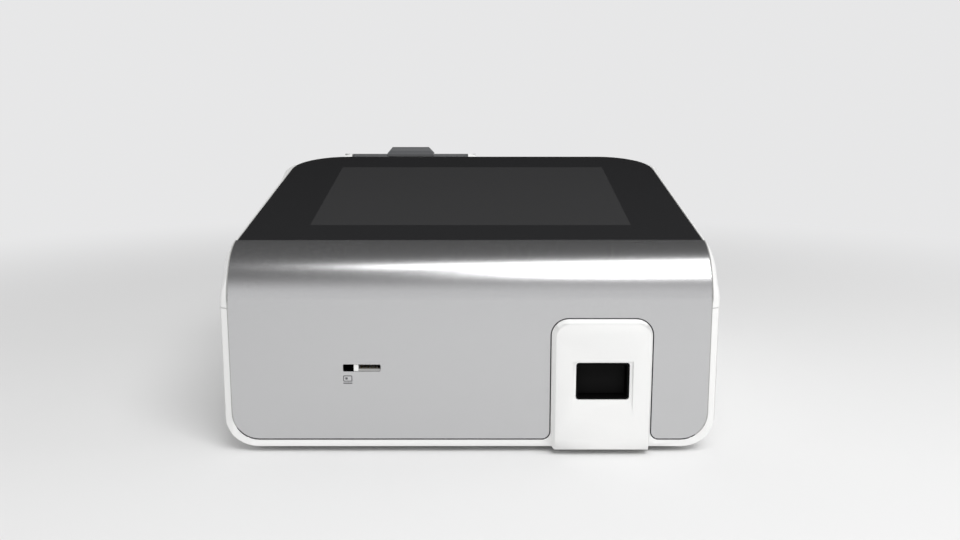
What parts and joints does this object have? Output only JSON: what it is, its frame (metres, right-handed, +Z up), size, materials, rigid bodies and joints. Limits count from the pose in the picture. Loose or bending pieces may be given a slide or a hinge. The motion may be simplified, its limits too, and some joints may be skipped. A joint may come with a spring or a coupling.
{
  "type": "rapid test reader",
  "caption": "Bench-top rapid test reader with a motor-driven cartridge tray behind a raised front port, a sloping touch display and a receipt printer under a rear lid.",
  "frame": {"origin": "middle of the bottom of the whole instrument, on the surface it stands on", "axes": "+X to the right seen from the front, +Y from the front to the back, +Z up"},
  "size_m": [0.235, 0.281, 0.1352],
  "materials": {
    "white_shell": "satin moulded white",
    "silver_panel": "satin silver lacquer",
    "dark_glass": "black-backed glass",
    "black_plastic": "moulded black",
    "grey_plastic": "fine textured grey",
    "steel": "plain",
    "brass": "turned",
    "acetal": "natural acetal",
    "rubber": "matt rubber",
    "circuit_board": "solder mask",
    "film": "amber film",
    "optics_glass": "clear",
    "paper": "smooth thermal paper"
  },
  "bodies": {
    "case": {"lower_housing": "white_shell", "upper_housing": "white_shell", "front_panel": "silver_panel", "port_liner": "black_plastic", "touch_glass": "dark_glass", "display_module": "black_plastic", "display_bracket": "steel", "display_ribbon": "film", "tray_bed": "steel", "gear_axle": "steel", "drive_motor": "steel", "optics_block": "black_plastic", "objective_lens": "optics_glass", "emission_filter": "optics_glass", "excitation_led": "optics_glass", "detector_board": "circuit_board", "home_sensor": "black_plastic", "id_slot_insert": "black_plastic", "id_board": "circuit_board", "main_board": "circuit_board", "processor_shield": "steel", "board_screw_1": "steel", "board_screw_2": "steel", "board_screw_3": "steel", "board_screw_4": "steel", "dc_jack": "black_plastic", "usb_port_left": "steel", "usb_port_right": "steel", "lan_port": "steel", "power_switch_body": "black_plastic", "speaker": "black_plastic", "printer_well": "grey_plastic", "printer_frame": "steel", "print_head": "brass", "head_spring_left": "steel", "head_spring_right": "steel", "printer_motor": "steel", "lid_hinge_pin": "steel", "foot_front_left": "rubber", "foot_front_right": "rubber", "foot_rear_left": "rubber", "foot_rear_right": "rubber", "housing_screw_1": "steel", "housing_screw_2": "steel", "housing_screw_3": "steel", "housing_screw_4": "steel"},
    "tray": {"cartridge_tray": "black_plastic", "tray_rack": "acetal", "cartridge_clip": "steel"},
    "reduction_gear_set": {"reduction_gear": "acetal"},
    "motor_rotor": {"motor_pinion": "brass"},
    "lid": {"printer_lid": "grey_plastic", "latch_pin": "steel"},
    "latch_lever": {"lid_latch": "grey_plastic"},
    "platen": {"platen_roller": "rubber", "platen_gear": "acetal"},
    "idler": {"idler_gear": "acetal"},
    "printer_motor_rotor": {"printer_motor_gear": "brass"},
    "roll": {"paper_roll": "paper"},
    "rocker": {"power_rocker": "black_plastic"}
  },
  "joints": [
    {"name": "tray_slide", "type": "slide", "parent": "case", "child": "tray", "axis": [0, -1, 0], "range_m": [0, 0.07]},
    {"name": "reduction_spin", "type": "hinge", "parent": "case", "child": "reduction_gear_set", "pos_m": [0.04238, -0.05, 0.035], "axis": [0, 0, 1], "range_deg": [-720, 0]},
    {"name": "motor_spin", "type": "hinge", "parent": "case", "child": "motor_rotor", "pos_m": [0.02318, -0.05, 0.038], "axis": [0, 0, 1], "range_deg": [0, 2160]},
    {"name": "lid_hinge", "type": "hinge", "parent": "case", "child": "lid", "pos_m": [-0.0415, 0.1295, 0.11414], "axis": [-1, 0, 0], "range_deg": [0, 85]},
    {"name": "latch_lift", "type": "hinge", "parent": "lid", "child": "latch_lever", "pos_m": [-0.0415, 0.08513, 0.12346], "axis": [-1, 0, 0], "range_deg": [0, 15], "stiffness_Nm_per_rad": 0.02, "springref_deg": -17.19},
    {"name": "platen_spin", "type": "hinge", "parent": "lid", "child": "platen", "pos_m": [-0.0415, 0.07403, 0.11947], "axis": [1, 0, 0], "continuous": true},
    {"name": "idler_spin", "type": "hinge", "parent": "case", "child": "idler", "pos_m": [-0.0762, 0.07403, 0.10507], "axis": [1, 0, 0], "continuous": true},
    {"name": "printer_motor_spin", "type": "hinge", "parent": "case", "child": "printer_motor_rotor", "pos_m": [-0.0762, 0.06554, 0.09658], "axis": [1, 0, 0], "continuous": true},
    {"name": "roll_spin", "type": "hinge", "parent": "case", "child": "roll", "pos_m": [-0.0415, 0.10103, 0.09397], "axis": [1, 0, 0], "continuous": true},
    {"name": "rocker_tip", "type": "hinge", "parent": "case", "child": "rocker", "pos_m": [0.088, 0.1388, 0.032], "axis": [-1, 0, 0], "range_deg": [0, 12]}
  ],
  "couplings": [
    {"joint": "reduction_spin", "follows": "tray_slide", "rad_per_m": -178.57},
    {"joint": "motor_spin", "follows": "tray_slide", "rad_per_m": 535.71},
    {"joint": "idler_spin", "follows": "platen_spin", "ratio": -1},
    {"joint": "printer_motor_spin", "follows": "platen_spin", "ratio": 1.5}
  ]
}
